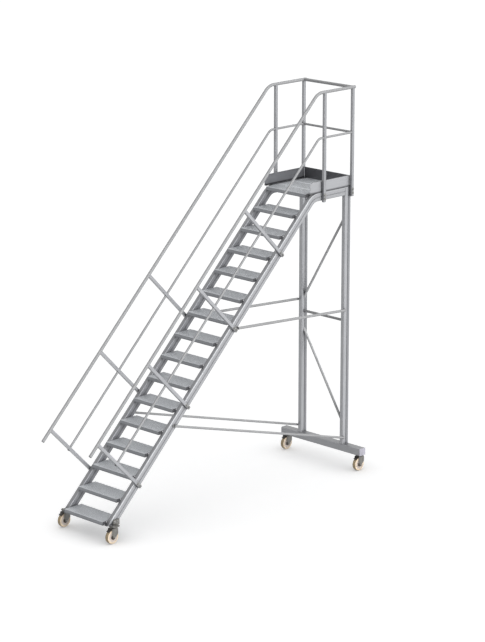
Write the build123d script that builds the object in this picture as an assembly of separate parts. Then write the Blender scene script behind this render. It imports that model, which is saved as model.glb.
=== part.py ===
from build123d import *
import os
from math import atan2, cos, sin, radians

os.makedirs("parts", exist_ok=True)

# Mobile platform ladder. X runs up the stair, Y to the left of a climber, Z up from the floor, millimetres.
# The origin lies on the floor, on the mid plane, halfway along the overall length.

# Stair
RISE = 200.0
GOING = 202.0
TREAD_COUNT = 15
FIRST_TREAD_TOP = 229.0
CLEAR_WIDTH = 592.0
TREAD_DEPTH = 240.0
TREAD_HEIGHT = 40.0
TREAD_SKIN = 5.0
TREAD_WALL = 3.0
TREAD_NOSE_CHAMBER = 52.0
TREAD_NOSE_RADIUS = 6.0
TREAD_REAR_CHAMBER = 34.0
TREAD_REAR_HEIGHT = 26.0
TREAD_KEEL = 22.0
RIB_PITCH = 16.0
RIB_GROOVE = 6.0
RIB_DEPTH = 1.8

# Stringer and leg extrusion
RAIL_WIDTH = 54.0
RAIL_DEPTH = 95.0
RAIL_WALL = 5.0
RAIL_CORNER = 13.0
RAIL_GROOVE_WIDTH = 11.0
RAIL_GROOVE_DEPTH = 3.0
STRINGER_SETBACK = 16.0
KNEE_RADIUS = 160.0

# Platform
PLANK_COUNT = 3
PLANK_GAP = 2.0
DECK_LENGTH = 661.0
TOE_HEIGHT = 122.0
TOE_WALL = 4.0
TOE_FOOT = 26.0
TOE_BEAD = 9.0
TOE_FRONT_RADIUS = 40.0
TOE_INSET = 4.0
TOE_FRONT_SET = 25.0
TOE_BACK_LAP = 30.0
TOE_CORNER_GAP = 1.0

# Guard and stair rails
POST_WIDTH = 32.0
POST_THICK = 35.0
POST_WALL = 2.5
POST_CORNER = 4.0
HANDRAIL_DIA = 35.0
KNEE_RAIL_DIA = 26.0
TUBE_WALL = 2.5
HANDRAIL_HEIGHT = 1104.0
KNEE_RAIL_HEIGHT = 605.0
HANDRAIL_OFFSET = 730.0
KNEE_RAIL_OFFSET = 361.0
HANDRAIL_BEND = 180.0
KNEE_RAIL_BEND = 95.0
POST_START = 566.0
POST_PITCH = 1000.0
LEFT_POST_COUNT = 3
RIGHT_POST_COUNT = 4
POST_FOOT_LAP = 84.0
HANDRAIL_TAIL = 152.0
KNEE_RAIL_TAIL = 22.0
GUARD_FRONT_SET = 223.5
GUARD_BACK_PAST = 12.0
GUARD_POST_PAST = 12.0
HANDRAIL_OVERHANG = 32.0
WELD_GAP = 0.1

# Legs, rear beam and bracing
LEG_INSET = 75.0
BEAM_WIDTH = 96.0
BEAM_HEIGHT = 83.0
BEAM_WALL = 4.0
BEAM_CORNER = 8.0
BEAM_HALF_LENGTH = 609.0
CAP_THICK = 6.0
BRACE_LUG_LENGTH = 26.0
BRACE_LUG_WIDTH = 18.0
BRACE_LUG_THICK = 8.0
BRACE_LEG_SET = 8.0
CROSS_BAR_DIA = 30.0
CROSS_BAR_Z = 1697.0
DIAGONAL_DIA = 28.0

# Brace table: name, distance up the stringer, depth below the nosing line, height on the leg, diameter
BRACES = [
    {"name": "upper", "along": 2600.0, "below": 98.0, "leg_z": 1831.0, "dia": 30.0},
    {"name": "lower", "along": 1309.0, "below": 62.0, "leg_z": 342.0, "dia": 26.0},
]

# Diagonal table: name, height at the left leg, height at the right leg
DIAGONALS = [
    {"name": "upper", "left_z": 1878.0, "right_z": 2869.0},
    {"name": "lower", "left_z": 1476.0, "right_z": 516.0},
]

# Castors
WHEEL_DIA = 150.0
TYRE_WIDTH = 46.0
RIM_DIA = 112.0
RIM_WIDTH = 40.0
RIM_BAND = 9.0
RIM_WEB = 30.0
RIM_GAP = 0.1
HUB_DIA = 48.0
HUB_WIDTH = 50.0
AXLE_DIA = 12.0
AXLE_HEAD_DIA = 22.0
AXLE_HEAD = 6.0
RUN_CLEARANCE = 0.05
CASTOR_TRAIL = 36.0
CASTOR_PLATE_X = 88.0
CASTOR_PLATE_Y = 76.0
CASTOR_PLATE_THICK = 5.0
CASTOR_PLATE_CORNER = 9.0
CASTOR_SLOT_X = 66.0
CASTOR_SLOT_Y = 52.0
CASTOR_SLOT_DIA = 9.0
RACE_DIA = 68.0
RACE_HEIGHT = 7.0
RACE_GAP = 0.6
KING_PIN_DIA = 14.0
KING_PIN_PAST = 8.0
FORK_CROWN = 6.0
FORK_INNER = 62.0
FORK_WALL = 4.0
FORK_REAR = 24.0
FORK_FRONT = 60.0
FORK_EYE = 24.0
FORK_DROP = 20.0
FORK_CORNER = 12.0
PEDAL_CLEARANCE = 6.0
PEDAL_THICK = 4.0
PEDAL_SEAT = 0.4
PEDAL_WIDTH = 44.0
PEDAL_START = 78.0
PEDAL_END = 128.0
PEDAL_TAB = 8.0
FOOT_PLATE_THICK = 8.0
FOOT_WEB_THICK = 8.0
FOOT_WEB_HEIGHT = 53.0
FOOT_WEB_SET = 95.0
FOOT_HEEL_SET = 183.0
FOOT_WEB_CORNER = 14.0

# Castor places: behind the first nosing, outside the stringer, behind the leg, and in from the beam's end
FRONT_CASTOR_SET = 95.0
FRONT_CASTOR_OUTSET = 22.0
REAR_CASTOR_SET = 21.0
REAR_CASTOR_INSET = 49.0

# Side table: name, sign of Y, number of stair posts
SIDES = [
    {"name": "left", "side": 1, "posts": LEFT_POST_COUNT},
    {"name": "right", "side": -1, "posts": RIGHT_POST_COUNT},
]

# Derived sizes
SLOPE = atan2(RISE, GOING)
NOSE_Z = FIRST_TREAD_TOP - TREAD_HEIGHT
DECK_TOP = FIRST_TREAD_TOP + RISE * TREAD_COUNT
DECK_SET = GOING * TREAD_COUNT
INNER_Y = CLEAR_WIDTH / 2
OUTER_Y = INNER_Y + RAIL_WIDTH
MID_Y = INNER_Y + RAIL_WIDTH / 2
GUARD_Y = OUTER_Y + POST_WIDTH / 2
HANDRAIL_Z = DECK_TOP + HANDRAIL_HEIGHT
KNEE_RAIL_Z = DECK_TOP + KNEE_RAIL_HEIGHT
HANDRAIL_R = HANDRAIL_DIA / 2
KNEE_RAIL_R = KNEE_RAIL_DIA / 2
WHEEL_R = WHEEL_DIA / 2
FORK_LOW = WHEEL_DIA + PEDAL_CLEARANCE + PEDAL_THICK + PEDAL_SEAT
FORK_TOP = FORK_LOW + FORK_CROWN
CASTOR_HEIGHT = FORK_TOP + RACE_GAP + RACE_HEIGHT + CASTOR_PLATE_THICK
FOOT_TOP = CASTOR_HEIGHT + FOOT_PLATE_THICK
BEAM_TOP = CASTOR_HEIGHT + BEAM_HEIGHT
POST_FOOT = STRINGER_SETBACK + POST_FOOT_LAP
RAIL_END_SET = DECK_SET + DECK_LENGTH + GUARD_BACK_PAST + HANDRAIL_OVERHANG
TIP_ALONG = POST_START - HANDRAIL_TAIL
TIP_SET = TIP_ALONG * cos(SLOPE) - (HANDRAIL_OFFSET + HANDRAIL_R) * sin(SLOPE)

# The first nosing is placed so that the origin falls halfway between the rail tips and the rail ends.
NOSE_X = -(TIP_SET + RAIL_END_SET) / 2
DECK_FRONT = NOSE_X + DECK_SET
DECK_BACK = DECK_FRONT + DECK_LENGTH
LEG_FRONT = DECK_BACK - LEG_INSET
LEG_X = LEG_FRONT + RAIL_DEPTH / 2
GUARD_FRONT = DECK_FRONT + GUARD_FRONT_SET
GUARD_BACK = DECK_BACK + GUARD_BACK_PAST
RAIL_END = NOSE_X + RAIL_END_SET
FRONT_CASTOR_X = NOSE_X + FRONT_CASTOR_SET
FRONT_CASTOR_Y = OUTER_Y + FRONT_CASTOR_OUTSET
REAR_CASTOR_X = LEG_X + REAR_CASTOR_SET
REAR_CASTOR_Y = BEAM_HALF_LENGTH - REAR_CASTOR_INSET

# Castor table: name, place of the swivel axis along X and out from the mid plane, sign of Y
CASTORS = [
    {"name": "front_left", "x": FRONT_CASTOR_X, "out": FRONT_CASTOR_Y, "side": 1},
    {"name": "front_right", "x": FRONT_CASTOR_X, "out": FRONT_CASTOR_Y, "side": -1},
    {"name": "rear_left", "x": REAR_CASTOR_X, "out": REAR_CASTOR_Y, "side": 1},
    {"name": "rear_right", "x": REAR_CASTOR_X, "out": REAR_CASTOR_Y, "side": -1},
]


def on_slope(along, normal):
    """Point in the X, Z plane at a distance up the nosing line and a distance square to it."""
    x = NOSE_X + along * cos(SLOPE) - normal * sin(SLOPE)
    z = NOSE_Z + along * sin(SLOPE) + normal * cos(SLOPE)
    return (x, z)


def along_at_height(height, normal):
    """Distance up the nosing line at which a line square off by normal reaches a height."""
    return (height - NOSE_Z - normal * cos(SLOPE)) / sin(SLOPE)


def save(shape, name):
    export_step(shape, "parts/" + name + ".step")


def side_plane(y):
    """Sketch plane with X right and Z up, facing the right-hand side."""
    return Plane(origin=(0, y, 0), x_dir=(1, 0, 0), z_dir=(0, -1, 0))


def slab(face, y_low, y_high):
    """Extrude an X, Z face across the width."""
    return extrude(side_plane(y_high) * face, amount=y_high - y_low)


def block(x_low, x_high, z_low, z_high):
    return Pos((x_low + x_high) / 2, (z_low + z_high) / 2) * Rectangle(x_high - x_low, z_high - z_low)


def polygon(points):
    return make_face(Polyline(*points, close=True))


def bar(start, end, outer, inner=0.0):
    """Round bar or tube between two points."""
    a, b = Vector(*start), Vector(*end)
    ring = Circle(outer / 2)
    if inner > 0:
        ring = ring - Circle(inner / 2)
    return extrude(Plane(origin=a, z_dir=(b - a).normalized()) * ring, amount=(b - a).length)


def rail_section():
    """Hollow rounded extrusion with a shallow groove down both side walls."""
    outer = RectangleRounded(RAIL_WIDTH, RAIL_DEPTH, RAIL_CORNER)
    for side in (1, -1):
        outer -= Pos(side * RAIL_WIDTH / 2, 0) * Rectangle(2 * RAIL_GROOVE_DEPTH, RAIL_GROOVE_WIDTH)
    bore = RectangleRounded(RAIL_WIDTH - 2 * RAIL_WALL, RAIL_DEPTH - 2 * RAIL_WALL, RAIL_CORNER - RAIL_WALL)
    return outer - bore


def post_section():
    """Rectangular tube with eased corners, wide across the stair."""
    outer = RectangleRounded(POST_THICK, POST_WIDTH, POST_CORNER)
    return outer - Rectangle(POST_THICK - 2 * POST_WALL, POST_WIDTH - 2 * POST_WALL)


def plank_section(depth):
    """Tread section from its front lower edge: hollow nose, ribbed skin, keel and rear chamber."""
    top = TREAD_HEIGHT
    skin = block(0, depth, top - TREAD_SKIN, top)
    nose = block(0, TREAD_NOSE_CHAMBER, 0, top)
    rear = block(depth - TREAD_REAR_CHAMBER, depth, top - TREAD_REAR_HEIGHT, top)
    middle = (TREAD_NOSE_CHAMBER + depth - TREAD_REAR_CHAMBER) / 2
    keel = block(middle - TREAD_WALL / 2, middle + TREAD_WALL / 2, top - TREAD_KEEL, top)
    body = skin + nose + rear + keel
    body = fillet(body.vertices().sort_by(Axis.X)[0:2].sort_by(Axis.Y)[-1], TREAD_NOSE_RADIUS)
    body -= block(TREAD_WALL, TREAD_NOSE_CHAMBER - TREAD_WALL, TREAD_WALL, top - TREAD_SKIN)
    rear_floor = top - TREAD_REAR_HEIGHT + TREAD_WALL
    body -= block(depth - TREAD_REAR_CHAMBER + TREAD_WALL, depth - TREAD_WALL, rear_floor, top - TREAD_SKIN)
    count = int((depth - 2 * RIB_PITCH) / RIB_PITCH) + 1
    for i in range(count):
        x = RIB_PITCH + i * RIB_PITCH
        body -= block(x - RIB_GROOVE / 2, x + RIB_GROOVE / 2, top - RIB_DEPTH, top)
    return body


def make_treads():
    section = plank_section(TREAD_DEPTH)
    plank = slab(section, -INNER_Y, INNER_Y)
    row = []
    for i in range(TREAD_COUNT):
        row.append(Pos(NOSE_X + i * GOING, 0, NOSE_Z + i * RISE) * plank)
    return Compound(row)


def make_deck():
    depth = (DECK_LENGTH - (PLANK_COUNT - 1) * PLANK_GAP) / PLANK_COUNT
    plank = slab(plank_section(depth), -INNER_Y, INNER_Y)
    row = []
    for i in range(PLANK_COUNT):
        row.append(Pos(DECK_FRONT + i * (depth + PLANK_GAP), 0, DECK_TOP - TREAD_HEIGHT) * plank)
    return Compound(row)


def make_stringer(side):
    """Stringer swept up the slope, round the knee and along the platform to the leg."""
    normal = -STRINGER_SETBACK - RAIL_DEPTH / 2
    y = side * MID_Y
    level = DECK_TOP - RAIL_DEPTH / 2
    low = on_slope(along_at_height(FOOT_TOP - RAIL_DEPTH, normal), normal)
    bend = on_slope(along_at_height(level, normal), normal)
    path = FilletPolyline(
        (low[0], y, low[1]), (bend[0], y, bend[1]), (LEG_FRONT, y, level), radius=KNEE_RADIUS
    )
    start = Plane(origin=path @ 0, x_dir=(0, 1, 0), z_dir=path % 0)
    beam = sweep(start * rail_section(), path=path)
    return split(beam, bisect_by=Plane(origin=(0, 0, FOOT_TOP)), keep=Keep.TOP)


def make_leg(side):
    base = Plane(origin=(LEG_X, side * MID_Y, BEAM_TOP), x_dir=(0, 1, 0), z_dir=(0, 0, 1))
    return extrude(base * rail_section(), amount=DECK_TOP - BEAM_TOP)


def make_beam():
    section = RectangleRounded(BEAM_WIDTH, BEAM_HEIGHT, BEAM_CORNER)
    bore_x = BEAM_WIDTH - 2 * BEAM_WALL
    bore_z = BEAM_HEIGHT - 2 * BEAM_WALL
    section -= RectangleRounded(bore_x, bore_z, BEAM_CORNER - BEAM_WALL)
    reach = BEAM_HALF_LENGTH - CAP_THICK
    return slab(Pos(LEG_X, CASTOR_HEIGHT + BEAM_HEIGHT / 2) * section, -reach, reach)


def make_beam_cap(side):
    face = RectangleRounded(BEAM_WIDTH, BEAM_HEIGHT, BEAM_CORNER)
    face = Pos(LEG_X, CASTOR_HEIGHT + BEAM_HEIGHT / 2) * face
    ends = sorted((side * BEAM_HALF_LENGTH, side * (BEAM_HALF_LENGTH - CAP_THICK)))
    return slab(face, ends[0], ends[1])


def make_side_toeboard(side):
    """Upright board with a foot on the side beam and a thicker top bead, its front corner rounded."""
    front = DECK_FRONT + TOE_FRONT_SET
    high = DECK_TOP + TOE_HEIGHT
    face = block(front, DECK_BACK, DECK_TOP, high)
    face = fillet(face.vertices().sort_by(Axis.Y)[-2:].sort_by(Axis.X)[0], TOE_FRONT_RADIUS)
    outer = OUTER_Y - TOE_INSET
    board = slab(face, outer - TOE_WALL, outer)
    bead = block(front + TOE_FRONT_RADIUS, DECK_BACK, high - TOE_BEAD, high)
    board += slab(bead, outer - TOE_BEAD, outer)
    foot = block(front, LEG_FRONT - TOE_WALL, DECK_TOP, DECK_TOP + TOE_WALL)
    board += slab(foot, outer - TOE_FOOT, outer)
    return board if side > 0 else mirror(board, about=Plane.XZ)


def make_back_toeboard():
    reach = OUTER_Y - TOE_INSET - TOE_BEAD - TOE_CORNER_GAP
    high = DECK_TOP + TOE_HEIGHT
    board = slab(block(DECK_BACK, DECK_BACK + TOE_WALL, DECK_TOP - TOE_BACK_LAP, high), -INNER_Y, INNER_Y)
    board += slab(block(DECK_BACK, DECK_BACK + TOE_WALL, DECK_TOP, high), -reach, reach)
    board += slab(block(DECK_BACK, DECK_BACK + TOE_BEAD, high - TOE_BEAD, high), -reach, reach)
    return board


def handrail_path(side):
    y = side * GUARD_Y
    tip = on_slope(TIP_ALONG, HANDRAIL_OFFSET)
    bend = on_slope(along_at_height(HANDRAIL_Z, HANDRAIL_OFFSET), HANDRAIL_OFFSET)
    return FilletPolyline(
        (tip[0], y, tip[1]), (bend[0], y, bend[1]), (RAIL_END, y, HANDRAIL_Z), radius=HANDRAIL_BEND
    )


def knee_rail_path(side):
    y = side * GUARD_Y
    low = on_slope(POST_START - KNEE_RAIL_TAIL, KNEE_RAIL_OFFSET)
    bend = on_slope(along_at_height(KNEE_RAIL_Z, KNEE_RAIL_OFFSET), KNEE_RAIL_OFFSET)
    end = GUARD_BACK - POST_THICK / 2
    return FilletPolyline(
        (low[0], y, low[1]), (bend[0], y, bend[1]), (end, y, KNEE_RAIL_Z), radius=KNEE_RAIL_BEND
    )


def tube_along(path, diameter, wall=0.0):
    """Tube, or a full bar when no wall is given, swept along a path."""
    ring = Circle(diameter / 2)
    if wall > 0:
        ring = ring - Circle(diameter / 2 - wall)
    start = Plane(origin=path @ 0, x_dir=(0, 1, 0), z_dir=path % 0)
    return sweep(start * ring, path=path)


def make_stair_post(side, index):
    """Post square to the slope, foot across the stringer's outer face, head coped to the handrail."""
    along = POST_START + index * POST_PITCH
    low = on_slope(along, -POST_FOOT)
    normal = Vector(-sin(SLOPE), 0, cos(SLOPE))
    upward = Vector(cos(SLOPE), 0, sin(SLOPE))
    y = side * GUARD_Y
    base = Plane(origin=(low[0], y, low[1]), x_dir=upward, z_dir=normal)
    post = extrude(base * post_section(), amount=HANDRAIL_OFFSET + POST_FOOT)
    for offset, radius in ((HANDRAIL_OFFSET, HANDRAIL_R), (KNEE_RAIL_OFFSET, KNEE_RAIL_R)):
        a = on_slope(along - POST_THICK, offset)
        b = on_slope(along + POST_THICK, offset)
        post -= bar((a[0], y, a[1]), (b[0], y, b[1]), 2 * (radius + WELD_GAP))
    return max(post.solids(), key=lambda piece: piece.volume)


def make_guard_post(side, x, through):
    y = side * GUARD_Y
    low = DECK_TOP - RAIL_DEPTH - GUARD_POST_PAST
    base = Plane(origin=(x, y, low), x_dir=(1, 0, 0), z_dir=(0, 0, 1))
    post = extrude(base * post_section(), amount=HANDRAIL_Z - low)
    a, b = x - POST_WIDTH, x + POST_WIDTH
    post -= bar((a, y, HANDRAIL_Z), (b, y, HANDRAIL_Z), 2 * (HANDRAIL_R + WELD_GAP))
    if through:
        post -= bar((a, y, KNEE_RAIL_Z), (b, y, KNEE_RAIL_Z), 2 * (KNEE_RAIL_R + WELD_GAP))
    else:
        post -= bar((x, 0, HANDRAIL_Z), (x, y, HANDRAIL_Z), 2 * (HANDRAIL_R + WELD_GAP))
    return max(post.solids(), key=lambda piece: piece.volume)


def make_back_handrail():
    reach = GUARD_Y - HANDRAIL_R / 2
    inner = HANDRAIL_DIA - 2 * TUBE_WALL
    rail = bar((GUARD_BACK, -reach, HANDRAIL_Z), (GUARD_BACK, reach, HANDRAIL_Z), HANDRAIL_DIA, inner)
    for side in (1, -1):
        y = side * GUARD_Y
        a = (GUARD_BACK - HANDRAIL_DIA, y, HANDRAIL_Z)
        b = (GUARD_BACK + HANDRAIL_DIA, y, HANDRAIL_Z)
        rail -= bar(a, b, 2 * (HANDRAIL_R + WELD_GAP))
    return max(rail.solids(), key=lambda piece: piece.volume)


def make_back_knee_rail():
    reach = GUARD_Y - POST_WIDTH / 2
    inner = KNEE_RAIL_DIA - 2 * TUBE_WALL
    return bar((GUARD_BACK, -reach, KNEE_RAIL_Z), (GUARD_BACK, reach, KNEE_RAIL_Z), KNEE_RAIL_DIA, inner)


def make_brace(side, row):
    """Tube brace from the stringer to the leg, its flattened ends flat against their outer faces."""
    y = side * (OUTER_Y + row["dia"] / 2)
    low = on_slope(row["along"], -row["below"])
    a = Vector(low[0], y, low[1])
    b = Vector(LEG_FRONT + BRACE_LEG_SET, y, row["leg_z"])
    run = (b - a).normalized()
    lap = run * BRACE_LUG_LENGTH / 4
    brace = bar(a + lap, b - lap, row["dia"])
    flat = side * (OUTER_Y + BRACE_LUG_THICK / 2)
    for end in (a, b):
        place = Plane(origin=(end.X, flat, end.Z), x_dir=run, z_dir=(0, side, 0))
        brace += place * Box(BRACE_LUG_LENGTH, BRACE_LUG_WIDTH, BRACE_LUG_THICK)
    return brace


def make_cross_bar():
    return bar((LEG_X, -INNER_Y, CROSS_BAR_Z), (LEG_X, INNER_Y, CROSS_BAR_Z), CROSS_BAR_DIA)


def make_diagonal(row):
    """Diagonal bar between the legs, its ends cut flush with their inner faces."""
    a = Vector(LEG_X, INNER_Y, row["left_z"])
    b = Vector(LEG_X, -INNER_Y, row["right_z"])
    run = (b - a).normalized()
    rod = bar(a - run * DIAGONAL_DIA, b + run * DIAGONAL_DIA, DIAGONAL_DIA)
    middle = (row["left_z"] + row["right_z"]) / 2
    keep = Pos(LEG_X, 0, middle) * Box(RAIL_DEPTH, 2 * INNER_Y, 2 * abs(row["left_z"] - row["right_z"]))
    return rod & keep


def make_foot_bracket(side):
    """Welded foot: a base plate under stringer and castor, and a web up the stringer's outer face."""
    front = FRONT_CASTOR_X - CASTOR_PLATE_X / 2
    rear = FRONT_CASTOR_X + CASTOR_PLATE_X / 2
    heel = NOSE_X + FOOT_HEEL_SET
    inner = OUTER_Y + FOOT_WEB_THICK
    outer = FRONT_CASTOR_Y + CASTOR_PLATE_Y / 2
    plan = polygon([
        (front, INNER_Y), (heel, INNER_Y), (heel, inner), (rear, inner), (rear, outer), (front, outer)
    ])
    bracket = extrude(Pos(0, 0, CASTOR_HEIGHT) * plan, amount=FOOT_PLATE_THICK)
    web = block(NOSE_X + FOOT_WEB_SET, heel, CASTOR_HEIGHT, FOOT_TOP + FOOT_WEB_HEIGHT)
    web = fillet(web.vertices().sort_by(Axis.Y)[-2:], FOOT_WEB_CORNER)
    bracket += slab(web, OUTER_Y, inner)
    return bracket if side > 0 else mirror(bracket, about=Plane.XZ)


def castor_plate():
    """Fixed head about the swivel axis: slotted top plate, race cup and king pin."""
    plate = RectangleRounded(CASTOR_PLATE_X, CASTOR_PLATE_Y, CASTOR_PLATE_CORNER)
    for sx in (1, -1):
        for sy in (1, -1):
            plate -= Pos(sx * CASTOR_SLOT_X / 2, sy * CASTOR_SLOT_Y / 2) * Circle(CASTOR_SLOT_DIA / 2)
    under = CASTOR_HEIGHT - CASTOR_PLATE_THICK
    head = extrude(Pos(0, 0, under) * plate, amount=CASTOR_PLATE_THICK)
    cup = Circle(RACE_DIA / 2)
    head += extrude(Pos(0, 0, under - RACE_HEIGHT) * cup, amount=RACE_HEIGHT)
    pin = under - FORK_LOW + KING_PIN_PAST
    head += extrude(Pos(0, 0, under - pin) * Circle(KING_PIN_DIA / 2), amount=pin)
    return head


def castor_fork():
    """Swivelling fork: bored crown, two rounded cheeks drawn in to the axle eye, and the axle bolt."""
    axle = (-CASTOR_TRAIL, WHEEL_R)
    outer = FORK_INNER / 2 + FORK_WALL
    drop = FORK_TOP - WHEEL_R - FORK_DROP
    middle = (FORK_REAR - FORK_FRONT) / 2
    upper = Pos(middle, FORK_TOP - drop / 2) * RectangleRounded(FORK_FRONT + FORK_REAR, drop, FORK_CORNER)
    eye = Pos(axle[0], axle[1]) * Circle(FORK_EYE)
    cheek = make_hull(upper.edges() + eye.edges())
    fork = slab(cheek, FORK_INNER / 2, outer) + slab(cheek, -outer, -FORK_INNER / 2)
    crown = block(FORK_CORNER - FORK_FRONT, FORK_REAR - FORK_CORNER, FORK_LOW, FORK_TOP)
    fork += slab(crown, -FORK_INNER / 2, FORK_INNER / 2)
    fork -= extrude(Pos(0, 0, FORK_LOW) * Circle(KING_PIN_DIA / 2 + RUN_CLEARANCE), amount=FORK_CROWN)
    shaft = Pos(axle[0], axle[1]) * Circle(AXLE_DIA / 2)
    head = Pos(axle[0], axle[1]) * RegularPolygon(AXLE_HEAD_DIA / 2, 6)
    fork += slab(shaft, -outer, outer)
    fork += slab(head, outer, outer + AXLE_HEAD)
    fork += slab(head, -outer - AXLE_HEAD, -outer)
    return fork


def castor_pedal():
    """Brake pedal: a shoe curved over the wheel and a flat toe tab."""
    inner = WHEEL_R + PEDAL_CLEARANCE
    outer = inner + PEDAL_THICK
    axle = (-CASTOR_TRAIL, WHEEL_R)
    first, last = radians(PEDAL_START), radians(PEDAL_END)

    def spot(radius, angle):
        return (axle[0] + radius * cos(angle), axle[1] + radius * sin(angle))

    middle = (first + last) / 2
    lines = ThreePointArc(spot(outer, first), spot(outer, middle), spot(outer, last))
    lines += Line(spot(outer, last), spot(inner, last))
    lines += ThreePointArc(spot(inner, last), spot(inner, middle), spot(inner, first))
    lines += Line(spot(inner, first), spot(outer, first))
    shoe = make_face(lines)
    tip = spot(inner, last)
    tab = block(tip[0] - PEDAL_TAB, tip[0] + PEDAL_THICK, tip[1], tip[1] + PEDAL_THICK)
    return slab(shoe + tab, -PEDAL_WIDTH / 2, PEDAL_WIDTH / 2)


def castor_tyre():
    wall = WHEEL_R - RIM_DIA / 2
    ring = Pos(RIM_DIA / 2 + wall / 2, 0) * Rectangle(wall, TYRE_WIDTH)
    return turn(ring)


def castor_rim():
    """Wheel centre: outer band, web and bored hub."""
    radius = RIM_DIA / 2 - RIM_GAP
    bore = AXLE_DIA / 2 + RUN_CLEARANCE
    half = Pos((radius + bore) / 2, 0) * Rectangle(radius - bore, RIM_WEB)
    half += Pos(radius - RIM_BAND / 2, 0) * Rectangle(RIM_BAND, RIM_WIDTH)
    half += Pos((HUB_DIA / 2 + bore) / 2, 0) * Rectangle(HUB_DIA / 2 - bore, HUB_WIDTH)
    return turn(half)


def turn(face):
    """Revolve a radius, width face about the axle."""
    plane = Plane(origin=(-CASTOR_TRAIL, 0, WHEEL_R), x_dir=(1, 0, 0), z_dir=(0, 0, 1))
    axle = Axis((-CASTOR_TRAIL, 0, WHEEL_R), (0, 1, 0))
    return revolve(plane * face, axis=axle)


save(make_treads(), "treads")
save(make_deck(), "platform_deck")
save(make_back_toeboard(), "toeboard_back")
save(make_beam(), "rear_beam")
save(make_back_handrail(), "handrail_back")
save(make_back_knee_rail(), "knee_rail_back")
save(make_cross_bar(), "leg_cross_bar")

for row in DIAGONALS:
    save(make_diagonal(row), "leg_diagonal_" + row["name"])

for row in SIDES:
    name, side = row["name"], row["side"]
    save(make_stringer(side), "stringer_" + name)
    save(make_leg(side), "leg_" + name)
    save(make_beam_cap(side), "rear_beam_cap_" + name)
    save(make_side_toeboard(side), "toeboard_" + name)
    save(make_foot_bracket(side), "foot_bracket_" + name)
    save(tube_along(handrail_path(side), HANDRAIL_DIA, TUBE_WALL), "handrail_" + name)
    save(tube_along(knee_rail_path(side), KNEE_RAIL_DIA, TUBE_WALL), "knee_rail_" + name)
    save(make_guard_post(side, GUARD_FRONT, True), "guard_post_front_" + name)
    save(make_guard_post(side, GUARD_BACK, False), "guard_post_back_" + name)
    for brace in BRACES:
        save(make_brace(side, brace), "brace_" + brace["name"] + "_" + name)
    for i in range(row["posts"]):
        save(make_stair_post(side, i), "stair_post_" + name + "_" + str(i + 1))

for row in CASTORS:
    spot = Pos(row["x"], row["side"] * row["out"], 0)
    for piece, shape in (
        ("plate", castor_plate()), ("fork", castor_fork()), ("pedal", castor_pedal()),
        ("tyre", castor_tyre()), ("rim", castor_rim())
    ):
        save(spot * shape, "castor_" + row["name"] + "_" + piece)
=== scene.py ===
from math import atan2, cos, pi, radians, sin, sqrt

import bmesh
import bpy
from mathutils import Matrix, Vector


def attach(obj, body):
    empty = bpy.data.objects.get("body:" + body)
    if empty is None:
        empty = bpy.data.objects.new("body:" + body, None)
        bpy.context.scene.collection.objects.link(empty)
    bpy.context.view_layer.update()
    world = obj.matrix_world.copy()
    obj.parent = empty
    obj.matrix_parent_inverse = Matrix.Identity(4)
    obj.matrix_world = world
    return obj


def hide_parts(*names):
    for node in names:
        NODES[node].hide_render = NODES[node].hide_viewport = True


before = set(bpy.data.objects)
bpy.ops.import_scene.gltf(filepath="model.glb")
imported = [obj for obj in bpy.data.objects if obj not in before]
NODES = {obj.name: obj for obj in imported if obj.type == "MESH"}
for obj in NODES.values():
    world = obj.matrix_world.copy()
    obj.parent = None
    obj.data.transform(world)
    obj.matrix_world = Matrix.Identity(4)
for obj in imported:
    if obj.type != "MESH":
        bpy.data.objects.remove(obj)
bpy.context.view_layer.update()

# Sizes of the solids, metres. X runs up the stair, Y to the left of a climber, Z up.
RISE, GOING, TREADS = 0.200, 0.202, 15
SLOPE = atan2(RISE, GOING)
UP = Vector((cos(SLOPE), 0.0, sin(SLOPE)))
OFF = Vector((-sin(SLOPE), 0.0, cos(SLOPE)))
LEVEL, ACROSS, UPRIGHT = Vector((1, 0, 0)), Vector((0, 1, 0)), Vector((0, 0, 1))
SIDES = (1, -1)
NOSE = Vector((-1.751634, 0.0, 0.189))
INNER_Y = 0.296
OUTER_Y = 0.350
MID_Y = 0.323
GUARD_Y = 0.366
RAIL_WIDTH, RAIL_DEPTH, RAIL_CORNER, RAIL_WALL = 0.054, 0.095, 0.013, 0.0052
SETBACK_MID = 0.016 + RAIL_DEPTH / 2
DECK_TOP = 3.229
DECK_FRONT = NOSE.x + 3.030
DECK_BACK = DECK_FRONT + 0.661
LEG_FRONT = DECK_BACK - 0.075
LEG_X = LEG_FRONT + RAIL_DEPTH / 2
GUARD_FRONT = DECK_FRONT + 0.2235
GUARD_BACK = DECK_BACK + 0.012
RAIL_END = GUARD_BACK + 0.032
BEAM_TOP = 0.262
FOOT_TOP = 0.187
HANDRAIL_Z, KNEE_Z = 4.333, 3.834
HANDRAIL_OFF, KNEE_OFF = 0.730, 0.361
HANDRAIL_R, KNEE_R = 0.0175, 0.013
POST_START, POST_PITCH = 0.566, 1.0
POST_ALONG, POST_ACROSS, POST_CORNER = 0.0175, 0.016, 0.004
POST_FOOT, GUARD_FOOT = 0.100, 0.107
POSTS = {1: 3, -1: 4}
CROSS_BAR_Z, CROSS_BAR_R, DIAGONAL_R = 1.697, 0.015, 0.014
LUG_THICK = 0.008

# Heights of the diagonals: at the left leg, at the right leg
DIAGONALS = [(1.878, 2.869), (1.476, 0.516)]

# Braces: distance up the stringer, depth below the nosing line, height on the leg
BRACES = [(2.600, 0.098, 1.831), (1.309, 0.062, 0.342)]

WHEEL_R, TRAIL = 0.075, 0.036
FRONT_CASTOR_X, FRONT_CASTOR_Y = NOSE.x + 0.095, 0.372
REAR_CASTOR_X, REAR_CASTOR_Y = LEG_X + 0.021, 0.560
PLATE_BOLT_X, PLATE_BOLT_Y = 0.033, 0.026

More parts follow.
